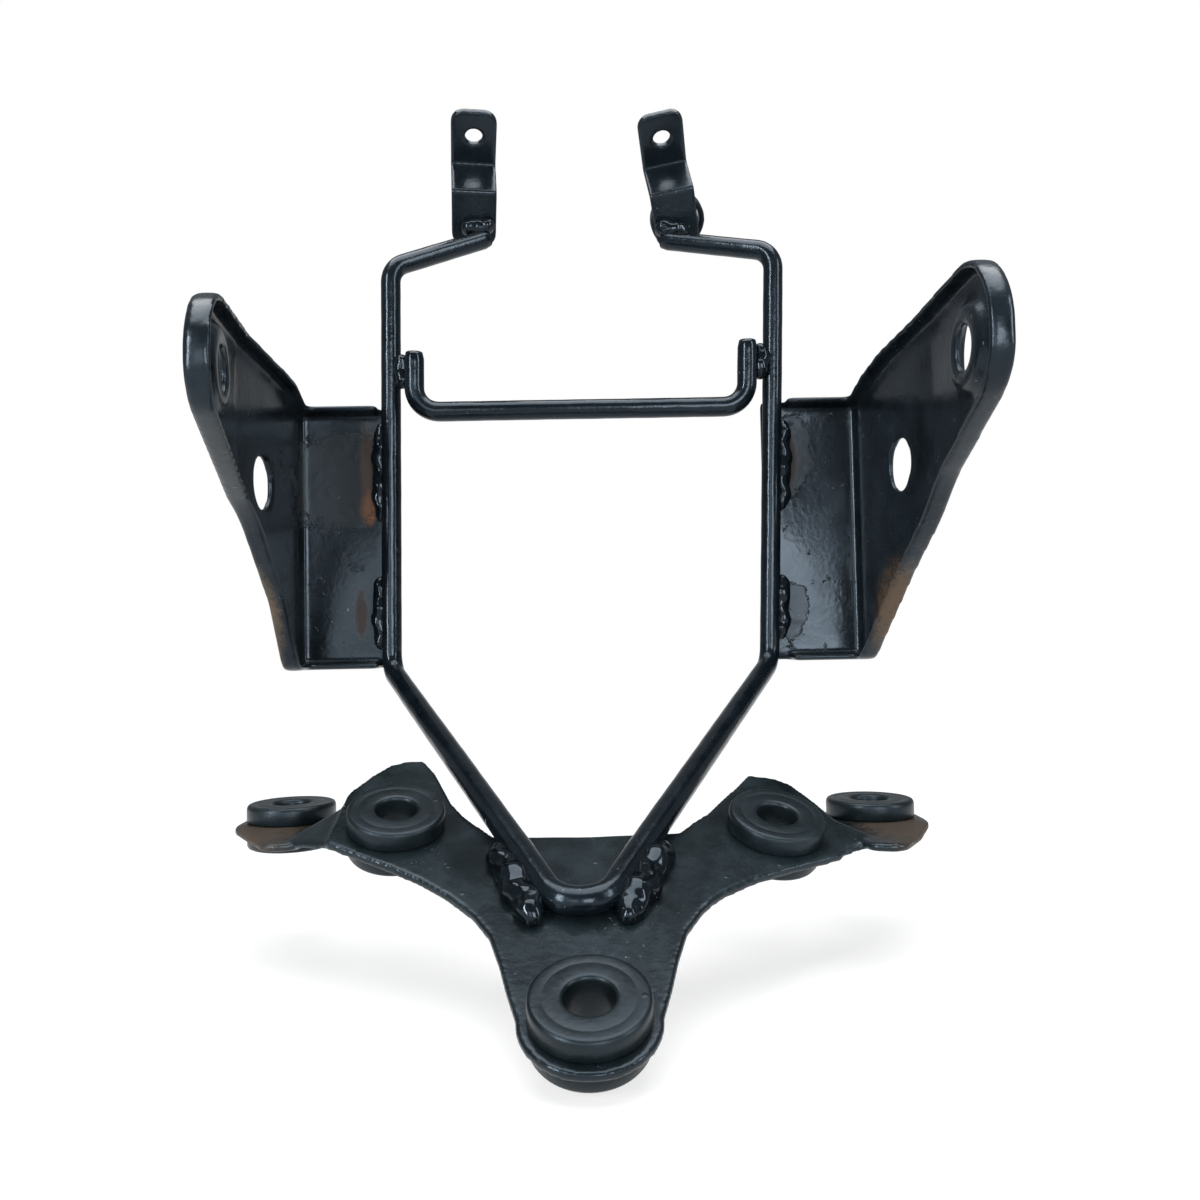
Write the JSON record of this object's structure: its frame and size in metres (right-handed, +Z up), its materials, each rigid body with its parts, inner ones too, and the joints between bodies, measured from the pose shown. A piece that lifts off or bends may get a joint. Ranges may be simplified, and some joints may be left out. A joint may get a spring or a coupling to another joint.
{
  "type": "headlight mounting bracket",
  "caption": "Motorcycle headlight bracket: bent round bar with two side brackets, upper tabs, cross bar and a base plate with rubber grommets, black painted",
  "frame": {"origin": "on the axis of the front grommet's bore, level with the base plate's top face", "axes": "+X to the bracket's right as seen from the front, +Y to the rear, +Z up along the uprights"},
  "size_m": [0.183, 0.1744, 0.2424],
  "materials": {
    "black_paint": "gloss black spray paint, chipped and rusting in places",
    "rubber": "moulded rubber, sprayed over with the same paint"
  },
  "bodies": {
    "root": {"main_rod": "black_paint", "cross_rod": "black_paint", "side_bracket_left": "black_paint", "side_bracket_right": "black_paint", "upper_tab_left": "black_paint", "upper_tab_right": "black_paint", "guide_ring": "black_paint", "base_plate": "black_paint", "front_grommet": "rubber", "inner_grommet_left": "rubber", "inner_grommet_right": "rubber", "outer_grommet_left": "rubber", "outer_grommet_right": "rubber", "plate_weld_left": "black_paint", "plate_weld_right": "black_paint", "pan_upper_weld_left": "black_paint", "pan_upper_weld_right": "black_paint", "pan_lower_weld_left": "black_paint", "pan_lower_weld_right": "black_paint", "cross_weld_left": "black_paint", "cross_weld_right": "black_paint", "tab_weld_left": "black_paint", "tab_weld_right": "black_paint"}
  },
  "joints": []
}
